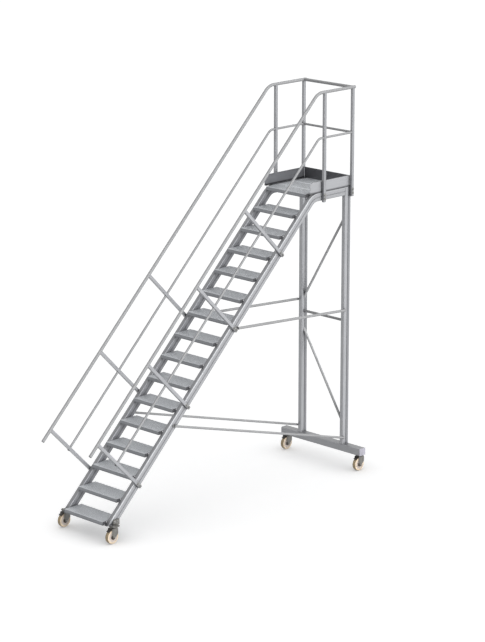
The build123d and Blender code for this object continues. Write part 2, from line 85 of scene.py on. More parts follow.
# Castors: name, X and Y of the swivel
CASTORS = [
    ("front_left", FRONT_CASTOR_X, FRONT_CASTOR_Y), ("front_right", FRONT_CASTOR_X, -FRONT_CASTOR_Y),
    ("rear_left", REAR_CASTOR_X, REAR_CASTOR_Y), ("rear_right", REAR_CASTOR_X, -REAR_CASTOR_Y),
]


def slope_point(along, off, y):
    return NOSE + UP * along + OFF * off + Vector((0.0, y, 0.0))


# Materials

class Shader:
    """A principled material with its node tree and a few short calls."""

    def __init__(self, name):
        self.mat = bpy.data.materials.new(name)
        self.mat.use_nodes = True
        self.tree = self.mat.node_tree
        self.tree.nodes.clear()
        out = self.node("ShaderNodeOutputMaterial")
        self.bsdf = self.node("ShaderNodeBsdfPrincipled")
        self.link(self.bsdf.outputs["BSDF"], out.inputs["Surface"])
        self.coord = self.node("ShaderNodeTexCoord").outputs["Object"]

    def node(self, kind, **values):
        item = self.tree.nodes.new(kind)
        for key, value in values.items():
            setattr(item, key, value)
        return item

    def link(self, a, b):
        self.tree.links.new(a, b)

    def place(self):
        """X, Y and Z of the shaded point, as sockets by name."""
        item = self.node("ShaderNodeSeparateXYZ")
        self.link(self.coord, item.inputs[0])
        return item.outputs

    def stretched(self, along, across, lengthwise):
        """Coordinates turned so that X follows a direction, with its own scale along and across it."""
        turn = Vector(along).to_track_quat("X", "Z").to_euler()
        first = self.node("ShaderNodeMapping", vector_type="TEXTURE")
        first.inputs["Rotation"].default_value = turn
        self.link(self.coord, first.inputs["Vector"])
        second = self.node("ShaderNodeMapping")
        second.inputs["Scale"].default_value = (lengthwise, across, across)
        self.link(first.outputs["Vector"], second.inputs["Vector"])
        return second.outputs["Vector"]

    def noise(self, vector, scale, detail, rough):
        item = self.node("ShaderNodeTexNoise")
        item.inputs["Scale"].default_value = scale
        item.inputs["Detail"].default_value = detail
        item.inputs["Roughness"].default_value = rough
        self.link(vector, item.inputs["Vector"])
        return item.outputs["Fac"]

    def ramp(self, value, low, high, start=0.35, end=0.65):
        item = self.node("ShaderNodeValToRGB")
        item.color_ramp.elements[0].position = start
        item.color_ramp.elements[1].position = end
        item.color_ramp.elements[0].color = (*low, 1.0)
        item.color_ramp.elements[1].color = (*high, 1.0)
        self.link(value, item.inputs["Fac"])
        return item.outputs["Color"]

    def remap(self, value, low, high, start=0.3, end=0.7):
        item = self.node("ShaderNodeMapRange")
        item.inputs["From Min"].default_value = start
        item.inputs["From Max"].default_value = end
        item.inputs["To Min"].default_value = low
        item.inputs["To Max"].default_value = high
        self.link(value, item.inputs["Value"])
        return item.outputs["Result"]

    def mix(self, factor, a, b, blend="MIX"):
        item = self.node("ShaderNodeMix", data_type="RGBA", blend_type=blend)
        if isinstance(factor, float):
            item.inputs[0].default_value = factor
        else:
            self.link(factor, item.inputs[0])
        for value, socket in ((a, item.inputs[6]), (b, item.inputs[7])):
            if isinstance(value, tuple):
                socket.default_value = (*value, 1.0)
            else:
                self.link(value, socket)
        return item.outputs[2]

    def times(self, base, share):
        """The colour multiplied by a share for each channel."""
        return self.mix(1.0, base, share, "MULTIPLY")

    def scaled(self, factor, base, share):
        """The colour, multiplied by a share where the factor is one."""
        return self.mix(factor, base, self.times(base, share))

    def math(self, operation, a, b):
        item = self.node("ShaderNodeMath", operation=operation)
        for value, socket in ((a, item.inputs[0]), (b, item.inputs[1])):
            if isinstance(value, float):
                socket.default_value = value
            else:
                self.link(value, socket)
        return item.outputs[0]

    def bump(self, height, strength, distance):
        item = self.node("ShaderNodeBump")
        item.inputs["Strength"].default_value = strength
        item.inputs["Distance"].default_value = distance
        self.link(height, item.inputs["Height"])
        self.link(item.outputs["Normal"], self.bsdf.inputs["Normal"])

    def occlusion(self, distance):
        item = self.node("ShaderNodeAmbientOcclusion", samples=6)
        item.inputs["Distance"].default_value = distance
        return item.outputs["AO"]

    def inward(self, axes):
        """One on faces that look toward the middle of the platform along the axes, nought on the others."""
        offset = self.node("ShaderNodeVectorMath", operation="SUBTRACT")
        offset.inputs[1].default_value = ((DECK_FRONT + DECK_BACK) / 2, 0.0, 0.0)
        self.link(self.coord, offset.inputs[0])
        level = self.node("ShaderNodeVectorMath", operation="MULTIPLY")
        level.inputs[1].default_value = axes
        self.link(offset.outputs[0], level.inputs[0])
        facing = self.node("ShaderNodeVectorMath", operation="DOT_PRODUCT")
        self.link(level.outputs[0], facing.inputs[0])
        self.link(self.node("ShaderNodeNewGeometry").outputs["True Normal"], facing.inputs[1])
        return self.remap(facing.outputs["Value"], 1.0, 0.0, -0.12, -0.02)

    def facing(self, direction, start, end):
        """Rises from nought to one as a face turns to look along a direction."""
        dot = self.node("ShaderNodeVectorMath", operation="DOT_PRODUCT")
        dot.inputs[1].default_value = tuple(direction)
        self.link(self.node("ShaderNodeNewGeometry").outputs["True Normal"], dot.inputs[0])
        return self.remap(dot.outputs["Value"], 0.0, 1.0, start, end)

    def set(self, **values):
        names = {
            "color": "Base Color", "metal": "Metallic", "rough": "Roughness", "level": "Specular IOR Level",
        }
        for key, value in values.items():
            socket = self.bsdf.inputs[names[key]]
            if isinstance(value, (int, float)):
                socket.default_value = value
            else:
                self.link(value, socket)
        return self.mat


def tint(color, factor):
    return tuple(min(1.0, c * factor) for c in color)


STREAKS_ACROSS, STREAKS_ALONG = 300.0, 1.2


def aluminium(name, color, directions, metal=0.45, rough=(0.27, 0.40), relief=0.06, recess_shade=0.62,
              inner_shade=None, axes=(1, 1, 0), facing_shade=None, seam=None, rear=None):
    """Mill finish: drawing streaks along the piece, broad darker patches, painted shade in corners, grooves
    and recesses.

    Directions: the streaks' one, or the one before a bend, the one past it and the bend's X. Shares of the
    colour, each a painted shade: in recesses, on faces that look inward along the axes, on those that look
    along
    its direction. Seam: heights between which a painted shadow at the lower edge fades. Rear: X past which it
    is painted in shade.
    """
    s = Shader(name)
    place = s.place()
    streak = s.noise(s.stretched(directions[0], STREAKS_ACROSS, STREAKS_ALONG), 1.0, 3.0, 0.5)
    if len(directions) > 1:
        level = s.noise(s.stretched(directions[1], STREAKS_ACROSS, STREAKS_ALONG), 1.0, 3.0, 0.5)
        past = s.math("GREATER_THAN", place["X"], directions[2])
        before = s.math("SUBTRACT", 1.0, past)
        streak = s.math("ADD", s.math("MULTIPLY", streak, before), s.math("MULTIPLY", level, past))
    patch = s.noise(s.coord, 3.2, 5.0, 0.6)
    speck = s.noise(s.coord, 700.0, 2.0, 0.5)
    base = s.ramp(streak, tint(color, 0.95), tint(color, 1.05))
    base = s.mix(s.remap(patch, 0.0, 0.5, 0.45, 0.75), base, tint(color, 0.84))
    base = s.mix(s.remap(speck, 0.0, 0.3, 0.62, 0.75), base, tint(color, 0.78))
    # Painted shade on faces that look inward, toward the platform's middle.
    if inner_shade:
        base = s.scaled(s.inward(axes), base, (inner_shade, inner_shade, inner_shade * 1.02))
    # Painted shade on faces that look along the given direction, such as the stringers' fronts and the beam's
    # top.
    if facing_shade:
        base = s.scaled(s.facing(facing_shade[0], 0.72, 0.95), base, (facing_shade[1],) * 3)
    # Painted shade from occlusion: darkest in corners, darker in narrow grooves, and a share in deep
    # recesses.
    corner = s.remap(s.occlusion(0.03), 0.0, 1.0, 0.25, 0.95)
    base = s.mix(corner, tint(color, 0.42), base)
    groove_shade = s.remap(s.occlusion(0.007), 0.0, 1.0, 0.5, 0.98)
    base = s.mix(groove_shade, s.times(base, (0.55, 0.55, 0.56)), base)
    shade = s.remap(s.occlusion(0.16), 0.0, 1.0, 0.15, 0.8)
    base = s.mix(shade, s.times(base, (recess_shade, recess_shade, recess_shade * 1.03)), base)
    # Painted shade on the part past the given X, the rear halves of the legs' sides.
    if rear:
        base = s.scaled(s.remap(place["X"], 0.0, 1.0, rear - 0.004, rear + 0.004), base, (0.66, 0.66, 0.67))
    # Painted shadow along the lower edge, fading out upward between the given heights.
    if seam:
        base = s.scaled(s.remap(place["Z"], 1.0, 0.0, *seam), base, (0.30, 0.30, 0.31))
    if relief:
        s.bump(streak, relief, 0.0005)
    return s.set(color=base, metal=metal, rough=s.remap(streak, *rough))


def ribbed_aluminium(name, color):
    """Tread planks: cross streaks, painted shade in the grooves, rib tops rubbed bright where feet fall, tops
    in painted light and the nose in painted shade.
    """
    s = Shader(name)
    place = s.place()
    streak = s.noise(s.stretched(ACROSS, 520.0, 3.0), 1.0, 3.0, 0.6)
    scuff = s.noise(s.stretched((1, 0.15, 0), 140.0, 26.0), 1.0, 4.0, 0.65)
    patch = s.noise(s.coord, 4.5, 5.0, 0.62)
    middle = s.remap(s.math("ABSOLUTE", place["Y"], 0.0), 1.0, 0.0, 0.05, 0.27)
    base = s.ramp(streak, tint(color, 0.91), tint(color, 1.07))
    base = s.mix(s.remap(patch, 0.0, 0.45, 0.42, 0.72), base, tint(color, 0.84))
    worn = s.math("MULTIPLY", middle, s.remap(scuff, 0.0, 0.6, 0.52, 0.70))
    base = s.mix(worn, base, tint(color, 1.18))
    # Painted light on the tops and painted shade on the nose faces.
    nose = s.facing(-LEVEL, 0.25, 0.65)
    base = s.scaled(s.facing(UPRIGHT, 0.7, 0.95), base, (1.42, 1.42, 1.42))
    base = s.scaled(nose, base, (0.64, 0.64, 0.65))
    # Painted shade along the lower edge of the nose.
    height = s.math("MODULO", s.math("SUBTRACT", place["Z"], NOSE.z - 0.0001), RISE)
    lip_shade = s.math("MULTIPLY", nose, s.remap(height, 1.0, 0.0, 0.005, 0.012))
    base = s.scaled(lip_shade, base, (0.70, 0.70, 0.71))
    # Painted shade in the rib grooves, from occlusion.
    groove_shade = s.remap(s.occlusion(0.008), 0.0, 1.0, 0.2, 0.9)
    base = s.mix(groove_shade, tint(color, 0.50), base)
    s.bump(s.math("ADD", streak, s.math("MULTIPLY", scuff, 0.5)), 0.15, 0.0006)
    return s.set(color=base, metal=0.35, rough=s.remap(scuff, 0.38, 0.55))


def zinc(name, color):
    """Zinc plate on pressed steel: spangle, dulled patches, painted shade in the folds."""
    s = Shader(name)
    cell = s.node("ShaderNodeTexVoronoi", feature="F1")
    cell.inputs["Scale"].default_value = 190.0
    s.link(s.coord, cell.inputs["Vector"])
    grey = s.node("ShaderNodeRGBToBW")
    s.link(cell.outputs["Color"], grey.inputs[0])
    patch = s.noise(s.coord, 26.0, 4.0, 0.6)
    base = s.ramp(grey.outputs[0], tint(color, 0.86), tint(color, 1.12), 0.2, 0.8)
    base = s.mix(s.remap(patch, 0.0, 0.6, 0.45, 0.7), base, tint(color, 0.7))
    # Painted shade in the folds, from occlusion.
    base = s.mix(s.remap(s.occlusion(0.015), 0.0, 1.0, 0.25, 0.95), tint(color, 0.4), base)
    s.bump(patch, 0.1, 0.0005)
    return s.set(color=base, metal=0.55, rough=s.remap(grey.outputs[0], 0.34, 0.5, 0.2, 0.8))


def moulded(name, color, rough=0.5, grain=420.0, wear=0.75):
    """Moulded plastic or rubber: fine grain, uneven tone, painted shade toward the corners."""
    s = Shader(name)
    fine = s.noise(s.coord, grain, 3.0, 0.55)
    broad = s.noise(s.coord, 22.0, 4.0, 0.6)
    base = s.ramp(broad, tint(color, 0.86), tint(color, 1.1))
    base = s.mix(s.remap(fine, 0.0, 0.4, 0.5, 0.75), base, tint(color, wear))
    # Painted shade toward the corners, from occlusion.
    base = s.mix(s.remap(s.occlusion(0.012), 0.0, 1.0, 0.2, 0.9), tint(color, 0.45), base)
    s.bump(fine, 0.2, 0.0006)
    return s.set(color=base, metal=0.0, rough=s.remap(fine, rough - 0.08, rough + 0.1), level=0.4)


FRAME_TONE = (0.36, 0.365, 0.38)
TUBE_TONE = (0.275, 0.277, 0.282)
TREAD_TONE = (0.40, 0.413, 0.43)
SATIN_RAIL = {"metal": 0.15, "rough": (0.58, 0.66), "relief": 0.0}
SATIN_BAR = {"metal": 0.15, "rough": (0.55, 0.62), "relief": 0.0}
# Heights between which painted shadow fades at the toeboards' lower edge and at the stringers' feet
TOEBOARD_EDGE_SHADOW = (DECK_TOP + 0.008, DECK_TOP + 0.022)
STRINGER_FOOT_SHADOW = (0.205, 0.250)

# X at which each rail turns from the slope to level
STRINGER_BEND, HANDRAIL_BEND, KNEE_BEND = 1.31, 1.0, 1.16

# A darker copy of the frame colour, as painted shade on the stringers.
ALU_STRINGER = aluminium("stringer_aluminium", tint(FRAME_TONE, 0.9), (UP, LEVEL, STRINGER_BEND), 0.35,
                         (0.34, 0.46), recess_shade=0.45, inner_shade=0.66, axes=(0, 1, 0), facing_shade=(OFF, 0.62),
                         seam=STRINGER_FOOT_SHADOW)
ALU_TUBE_TOP = aluminium("handrail_aluminium", TUBE_TONE, (UP, LEVEL, HANDRAIL_BEND), **SATIN_RAIL)
ALU_TUBE_KNEE = aluminium("knee_rail_aluminium", TUBE_TONE, (UP, LEVEL, KNEE_BEND), **SATIN_RAIL)
ALU_UPRIGHT = aluminium("upright_aluminium", FRAME_TONE, (UPRIGHT,), rear=LEG_X)
ALU_GUARD = aluminium("guard_post_aluminium", tint(FRAME_TONE, 0.86), (UPRIGHT,))
ALU_POST = aluminium("stair_post_aluminium", FRAME_TONE, (OFF,))
ALU_CROSS = aluminium("beam_aluminium", tint(FRAME_TONE, 0.9), (ACROSS,), facing_shade=(UPRIGHT, 0.66))
ALU_BRACE = aluminium("brace_aluminium", TUBE_TONE, (LEVEL,), **SATIN_BAR)
ALU_ROUND = aluminium("cross_tube_aluminium", TUBE_TONE, (ACROSS,), **SATIN_BAR)
# A lighter copy of the tube colour, as painted light on the diagonals.
ALU_DIAGONAL = aluminium("diagonal_aluminium", tint(TUBE_TONE, 1.5), ((0.0, 1.0, 1.2),), **SATIN_BAR)
ALU_BOARD = aluminium("toeboard_aluminium", FRAME_TONE, (LEVEL,), inner_shade=0.6, seam=TOEBOARD_EDGE_SHADOW)
ALU_BACK = aluminium("back_toeboard_aluminium", FRAME_TONE, (ACROSS,), inner_shade=0.34)
ALU_TREAD = ribbed_aluminium("tread_aluminium", TREAD_TONE)
# A lighter copy of the tread colour, as painted light on the deck.
ALU_DECK = ribbed_aluminium("deck_aluminium", tint(TREAD_TONE, 1.04))
STEEL = zinc("zinc_steel", (0.165, 0.160, 0.150))
CAP = moulded("cap_plastic", (0.345, 0.337, 0.382), 0.5)
PEDAL = moulded("pedal_plastic", (0.030, 0.024, 0.020), 0.45, wear=1.3)
TYRE = moulded("tyre_tread", (0.40, 0.31, 0.19), 0.5, 300.0, 0.85)
TYRE_EDGE = moulded("tyre_shoulder", (0.17, 0.13, 0.075), 0.55, 300.0, 0.85)
TYRE_SIDE = moulded("tyre_side", (0.66, 0.54, 0.40), 0.48, 300.0, 0.88)
WHEEL = moulded("wheel_plastic", (0.60, 0.53, 0.48), 0.42)
HUB = moulded("hub_plastic", (0.035, 0.026, 0.02), 0.4)
WELD = aluminium("weld_metal", tint(FRAME_TONE, 0.85), (UPRIGHT,), 0.3, (0.44, 0.56), 0.1)
BOLT = zinc("bolt_zinc", (0.27, 0.27, 0.265))
PLUG_AND_END_SHADE = moulded("plug_plastic_and_end_shade", (0.055, 0.055, 0.06), 0.5, wear=1.25)

CASTOR_MATERIALS = {"plate": STEEL, "fork": STEEL, "pedal": PEDAL, "tyre": TYRE, "rim": WHEEL}

# Frame nodes by the start of their names; the first that fits counts
FRAME_MATERIALS = [
    ("rear_beam_cap", CAP), ("rear_beam", ALU_CROSS), ("foot_bracket", STEEL), ("treads", ALU_TREAD),
    ("platform_deck", ALU_DECK), ("stringer", ALU_STRINGER), ("leg_left", ALU_UPRIGHT),
    ("leg_right", ALU_UPRIGHT), ("leg_diagonal", ALU_DIAGONAL), ("leg_", ALU_ROUND),
    ("handrail_back", ALU_ROUND), ("handrail", ALU_TUBE_TOP), ("knee_rail_back", ALU_ROUND),
    ("knee_rail", ALU_TUBE_KNEE), ("stair_post", ALU_POST), ("guard_post", ALU_GUARD),
    ("toeboard_back", ALU_BACK), ("toeboard", ALU_BOARD), ("brace", ALU_BRACE),
]


def material_for(node):
    if node.startswith("castor"):
        return CASTOR_MATERIALS[node.split("_")[-1]]
    return next(mat for start, mat in FRAME_MATERIALS if node.startswith(start))


for node, obj in NODES.items():
    obj.data.materials.clear()
    obj.data.materials.append(material_for(node))

# The keys light the ladder only: its solids and pieces are gathered here as they are made.
lit = bpy.data.collections.new("key_lights_these")
bpy.context.scene.collection.children.link(lit)
for obj in NODES.values():
    lit.objects.link(obj)


# Pieces added to the solids: welds, bolts, plugs, dark caps standing in for the shade in the open tread ends,
# and castor detail

BEAD = 0.0022
BEAD_STEP = 0.0012
BEAD_RIPPLE, BEAD_WANDER = 1.25, 0.37
BEAD_TURNS = [2 * pi * k / 6 for k in range(6)]


class Piece:
    """Mesh under construction, with short calls for the forms that the small pieces are made of."""

    def __init__(self):
        self.bm = bmesh.new()

    def ring(self, points):
        return [self.bm.verts.new(p) for p in points]

    def bridge(self, a, b):
        count = len(a)
        for i in range(count):
            j = (i + 1) % count
            self.bm.faces.new((a[i], a[j], b[j], b[i]))

    def lathe(self, at, axis, profile, sides, start=0.0):
        """Turned form: profile rows are radius and height along the axis; a radius of nought closes it."""
        axis = Vector(axis).normalized()
        u = axis.orthogonal().normalized()
        v = axis.cross(u)
        last = None
        for radius, height in profile:
            centre = Vector(at) + axis * height
            if radius < 1e-6:
                tip = self.bm.verts.new(centre)
                for i in range(sides):
                    self.bm.faces.new((last[i], last[(i + 1) % sides], tip))
                return
            turn = [start + 2 * pi * i / sides for i in range(sides)]
            row = self.ring([centre + (u * cos(t) + v * sin(t)) * radius for t in turn])
            if last:
                self.bridge(last, row)
            last = row

    def bead(self, path, radius, closed=False):
        """Weld bead laid along a line of points, with the ripples a torch leaves."""
        path = resample(path, BEAD_STEP, closed)
        count = len(path)
        rows = []
        for i, point in enumerate(path):
            ahead = path[(i + 1) % count] if closed else path[min(i + 1, count - 1)]
            behind = path[i - 1] if closed else path[max(i - 1, 0)]
            run = (ahead - behind).normalized()
            u = run.orthogonal().normalized() if not rows else (last_u - run * last_u.dot(run)).normalized()
            last_u = u
            v = run.cross(u)
            size = radius * (1.0 + 0.10 * sin(i * BEAD_RIPPLE) + 0.05 * sin(i * BEAD_WANDER))
            rows.append(self.ring([point + (u * cos(t) + v * sin(t)) * size for t in BEAD_TURNS]))
        for a, b in zip(rows, rows[1:]):
            self.bridge(a, b)
        if closed:
            self.close_loop(rows[-1], rows[0])
        else:
            self.bm.faces.new(list(reversed(rows[0])))
            self.bm.faces.new(rows[-1])

    def close_loop(self, a, b):
        """Joins the last ring of a loop to its first, starting from the nearest vertex."""
        count = len(a)
        shift = min(range(count), key=lambda k: (b[k].co - a[0].co).length)
        self.bridge(a, [b[(i + shift) % count] for i in range(count)])

    def bolt(self, at, axis, flats):
        """Hex head on a washer; flats is the width over the flats."""
        wide = flats * 1.12
        self.lathe(at, axis, [(wide, 0.0), (wide, 0.0014), (wide * 0.94, 0.0018), (flats * 0.45, 0.0018)], 20)
        r = flats / sqrt(3)
        foot, top = 0.0016, 0.0016 + flats * 0.62
        self.lathe(at, axis, [(r, foot), (r, top - flats * 0.08), (r * 0.86, top), (0.0, top)], 6, 0.4)

    def dome(self, at, axis, radius, height, sides=16):
        """Domed head or plug, from a short straight edge to the crown."""
        rows = [(radius, 0.0), (radius, height * 0.3)]
        rows += [(radius * cos(t), height * (0.3 + 0.7 * sin(t))) for t in (0.5, 0.9, 1.25)]
        self.lathe(at, axis, rows + [(0.0, height)], sides)

    def prism(self, outline, direction, edge):
        """Outline carried along a direction, its far rim eased by an inset."""
        centre = sum(outline, Vector()) / len(outline)
        direction = Vector(direction)
        inset = [p + (centre - p).normalized() * edge for p in outline]
        low = self.ring(outline)
        high = self.ring([p + direction * 0.7 for p in outline])
        rim = self.ring([p + direction for p in inset])
        self.bridge(low, high)
        self.bridge(high, rim)
        self.bm.faces.new(rim)
        self.bm.faces.new(list(reversed(low)))

    def done(self, name, mat, body, choose=None):
        """The finished piece, smooth but for sharp edges, on its body; choose gives a face its material."""
        bmesh.ops.recalc_face_normals(self.bm, faces=self.bm.faces)
        mesh = bpy.data.meshes.new(name)
        self.bm.to_mesh(mesh)
        self.bm.free()
        mesh.shade_smooth()
        mesh.set_sharp_from_angle(angle=radians(35.0))
        for item in mat if isinstance(mat, tuple) else (mat,):
            mesh.materials.append(item)
        if choose:
            for face in mesh.polygons:
                face.material_index = choose(face)
        obj = bpy.data.objects.new(name, mesh)
        bpy.context.scene.collection.objects.link(obj)
        lit.objects.link(obj)
        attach(obj, body)
        return obj


def resample(path, step, closed):
    """The same line with its points about one step apart."""
    path = [Vector(p) for p in path]
    ends = path + [path[0]] if closed else path
    out = []
    for a, b in zip(ends, ends[1:]):
        pieces = max(1, round((b - a).length / step))
        out += [a.lerp(b, k / pieces) for k in range(pieces)]
    return out if closed else out + [ends[-1]]


def round_rect(half_u, half_v, corner):
    """Outline of a rounded rectangle about the origin, as pairs."""
    out = []
    for k, (su, sv) in enumerate(((1, 1), (-1, 1), (-1, -1), (1, -1))):
        for i in range(7):
            t = pi / 2 * k + pi / 12 * i
            out.append((su * (half_u - corner) + corner * cos(t), sv * (half_v - corner) + corner * sin(t)))
    return out


def turns(count):
    return [2 * pi * k / count for k in range(count)]


def cross(o, a, b):
    return (a[0] - o[0]) * (b[1] - o[1]) - (a[1] - o[1]) * (b[0] - o[0])


def hull(points):
    """Convex outline of plane points."""
    points = sorted(set(points))
    halves = []
    for row in (points, points[::-1]):
        line = []
        for p in row:
            while len(line) > 1 and cross(line[-2], line[-1], p) <= 0:
                line.pop()
            line.append(p)
        halves += line[:-1]
    return halves


def circle(centre, u, v, radius):
    return [Vector(centre) + (Vector(u) * cos(t) + Vector(v) * sin(t)) * radius for t in turns(36)]


def saddle(head, run, off):
    """Seam between a post head and the round rail over it; head is the rail's axis point."""
    out = []
    outline = [Vector((a, w, 0.0)) for a, w in round_rect(POST_ALONG, POST_ACROSS, POST_CORNER)]
    for p in resample(outline, 0.002, True):
        drop = sqrt(max(HANDRAIL_R ** 2 - p.y ** 2, 0.0))
        out.append(head + run * p.x + ACROSS * p.y - off * drop)
    return out


def make_rail_welds():
    rails = Piece()
    thin = BEAD * 0.9
    for side in SIDES:
        y = side * GUARD_Y
        for i in range(POSTS[side]):
            along = POST_START + i * POST_PITCH
            rails.bead(saddle(slope_point(along, HANDRAIL_OFF, y), UP, OFF), BEAD, True)
            for face in SIDES:
                centre = slope_point(along + face * POST_ALONG, KNEE_OFF, y)
                rails.bead(circle(centre, ACROSS, OFF, KNEE_R), thin, True)
        for x in (GUARD_FRONT, GUARD_BACK):
            rails.bead(saddle(Vector((x, y, HANDRAIL_Z)), LEVEL, UPRIGHT), BEAD, True)
        for x in (GUARD_FRONT - POST_ALONG, GUARD_FRONT + POST_ALONG, GUARD_BACK - POST_ALONG):
            rails.bead(circle((x, y, KNEE_Z), ACROSS, UPRIGHT, KNEE_R), thin, True)
        back = (GUARD_BACK, side * (GUARD_Y - POST_ACROSS), KNEE_Z)
        rails.bead(circle(back, LEVEL, UPRIGHT, KNEE_R), thin, True)
        seam = []
        for t in turns(72):
            reach = GUARD_Y - HANDRAIL_R * abs(sin(t))
            x, z = GUARD_BACK + HANDRAIL_R * sin(t), HANDRAIL_Z + HANDRAIL_R * cos(t)
            seam.append(Vector((x, side * reach, z)))
        rails.bead(seam, BEAD, True)
    rails.done("rail_welds", WELD, "frame")


def make_frame_welds():
    welds = Piece()
    section = round_rect(RAIL_DEPTH / 2, RAIL_WIDTH / 2, RAIL_CORNER)
    plate_front = FRONT_CASTOR_X - 0.043
    for side in SIDES:
        mid = side * MID_Y
        level = DECK_TOP - RAIL_DEPTH / 2
        welds.bead([Vector((LEG_X + u, mid + v, BEAM_TOP)) for u, v in section], BEAD * 1.3, True)
        welds.bead([Vector((LEG_FRONT, mid + v, level + u)) for u, v in section], BEAD * 1.2, True)
        # The stringer's foot is welded where it stands over its base plate, along both sides
        foot = slope_point((FOOT_TOP - NOSE.z + SETBACK_MID * cos(SLOPE)) / sin(SLOPE), -SETBACK_MID, mid)
        line = [foot + LEVEL * (u / sin(SLOPE)) + ACROSS * v for u, v in section]
        line = [p for p in line[14:] + line[:14] if p.x > plate_front - 0.001]
        for edge in SIDES:
            seam = sorted((p for p in line if (p.y - mid) * edge > 0.0), key=lambda p: p.x)
            welds.bead([Vector((plate_front, mid + edge * RAIL_WIDTH / 2, FOOT_TOP))] + seam, BEAD * 1.3)
        inner = side * INNER_Y
        welds.bead(circle((LEG_X, inner, CROSS_BAR_Z), LEVEL, UPRIGHT, CROSS_BAR_R), BEAD, True)
        for left_z, right_z in DIAGONALS:
            tall = sqrt((2 * INNER_Y) ** 2 + (left_z - right_z) ** 2) / (2 * INNER_Y)
            z = left_z if side > 0 else right_z
            welds.bead(circle((LEG_X, inner, z), LEVEL, UPRIGHT * tall, DIAGONAL_R), BEAD, True)
    welds.done("frame_welds", WELD, "frame")


def make_tread_welds():
    """Beads along each tread's end: under the nose, up its back and under the skin."""
    welds = Piece()
    seam = [(0.024, 0.0), (0.052, 0.0), (0.052, 0.035), (0.186, 0.035)]
    for i in range(TREADS):
        x, z = NOSE.x + GOING * i, NOSE.z + RISE * i
        for side in SIDES:
            welds.bead([(x + a, side * INNER_Y, z + b) for a, b in seam], 0.002)
    welds.done("tread_welds", WELD, "frame")


def make_bolts():
    bolts = Piece()
    post_bolt, foot_bolt, lug_bolt = 0.017, 0.013, 0.010
    for side in SIDES:
        out = ACROSS * side
        face = side * (GUARD_Y + POST_ACROSS)
        for i in range(POSTS[side]):
            for off in (-0.038, -0.078):
                bolts.bolt(slope_point(POST_START + i * POST_PITCH, off, face), out, post_bolt)
        for x in (GUARD_FRONT, GUARD_BACK):
            for drop in (0.030, 0.072):
                bolts.bolt((x, face, DECK_TOP - drop), out, post_bolt)
        lug = side * (OUTER_Y + LUG_THICK)
        for along, below, leg_z in BRACES:
            low = slope_point(along, -below, lug)
            end = Vector((LEG_FRONT + LUG_THICK, lug, leg_z))
            run = (end - low).normalized() * 0.004
            bolts.bolt(low - run, out, lug_bolt)
            bolts.bolt(end + run, out, lug_bolt)
        for x in (0.120, 0.160):
            bolts.bolt((NOSE.x + x, lug, 0.214), out, foot_bolt)
        plate_y = side * (FRONT_CASTOR_Y + PLATE_BOLT_Y)
        for x in (-PLATE_BOLT_X, PLATE_BOLT_X):
            bolts.bolt((FRONT_CASTOR_X + x, plate_y, FOOT_TOP), UPRIGHT, foot_bolt)
    bolts.done("bolts", BOLT, "frame")


def make_tread_end_shade_caps():
    """Dark caps in the open ends of the noses, standing in for the shade inside them; the deck's are longer.
    Reach: at the top, at the bottom.
    """
    caps = Piece()
    bend = (0.0, 0.4, 0.8, 1.2, 1.57)
    for i in range(TREADS + 1):
        x, z = NOSE.x + GOING * i, NOSE.z + RISE * i
        corner = [(x + 0.0065 - 0.006 * cos(t), z + 0.0335 + 0.006 * sin(t)) for t in bend]
        reach = (0.1500, 0.1500) if i == TREADS else (0.0600, 0.0215)
        outline = [(x + 0.0005, z + 0.0005)] + corner
        outline += [(x + reach[0], z + 0.0395), (x + reach[1], z + 0.0005)]
        for side in SIDES:
            points = [Vector((a, side * (INNER_Y - 0.0005), b)) for a, b in outline]
            caps.prism(points, ACROSS * side * 0.002, 0.0006)
    caps.done("tread_end_shade_caps", PLUG_AND_END_SHADE, "frame")


def make_toeboard_screws():
    screws = Piece()
    for side in SIDES:
        for k in range(4):
            at = (DECK_FRONT + 0.07 + 0.15 * k, side * (OUTER_Y - 0.019), DECK_TOP + 0.004)
            screws.dome(at, UPRIGHT, 0.006, 0.0035)
    screws.done("toeboard_screws", BOLT, "frame")


def make_tube_plugs():
    plugs = Piece()
    post = round_rect(POST_ALONG - 0.0005, POST_ACROSS - 0.0005, POST_CORNER)
    bore = round_rect(RAIL_DEPTH / 2 - RAIL_WALL, RAIL_WIDTH / 2 - RAIL_WALL, 0.008)
    for side in SIDES:
        y = side * GUARD_Y
        for i in range(POSTS[side]):
            foot = slope_point(POST_START + i * POST_PITCH, -POST_FOOT, y)
            plugs.prism([foot + UP * u + ACROSS * v for u, v in post], OFF * -0.0025, 0.001)
        for x in (GUARD_FRONT, GUARD_BACK):
            foot = [Vector((x + u, y + v, DECK_TOP - GUARD_FOOT)) for u, v in post]
            plugs.prism(foot, UPRIGHT * -0.0025, 0.001)
        leg = [Vector((LEG_X + u, side * MID_Y + v, DECK_TOP - 0.006)) for u, v in bore]
        plugs.prism(leg, UPRIGHT * 0.0055, 0.0015)
        plugs.dome((RAIL_END, y, HANDRAIL_Z), LEVEL, HANDRAIL_R - 0.0003, 0.005, 28)
        plugs.dome(slope_point(POST_START - 0.022, KNEE_OFF, y), -UP, KNEE_R - 0.0003, 0.004, 24)
    plugs.done("tube_plugs", PLUG_AND_END_SHADE, "frame")


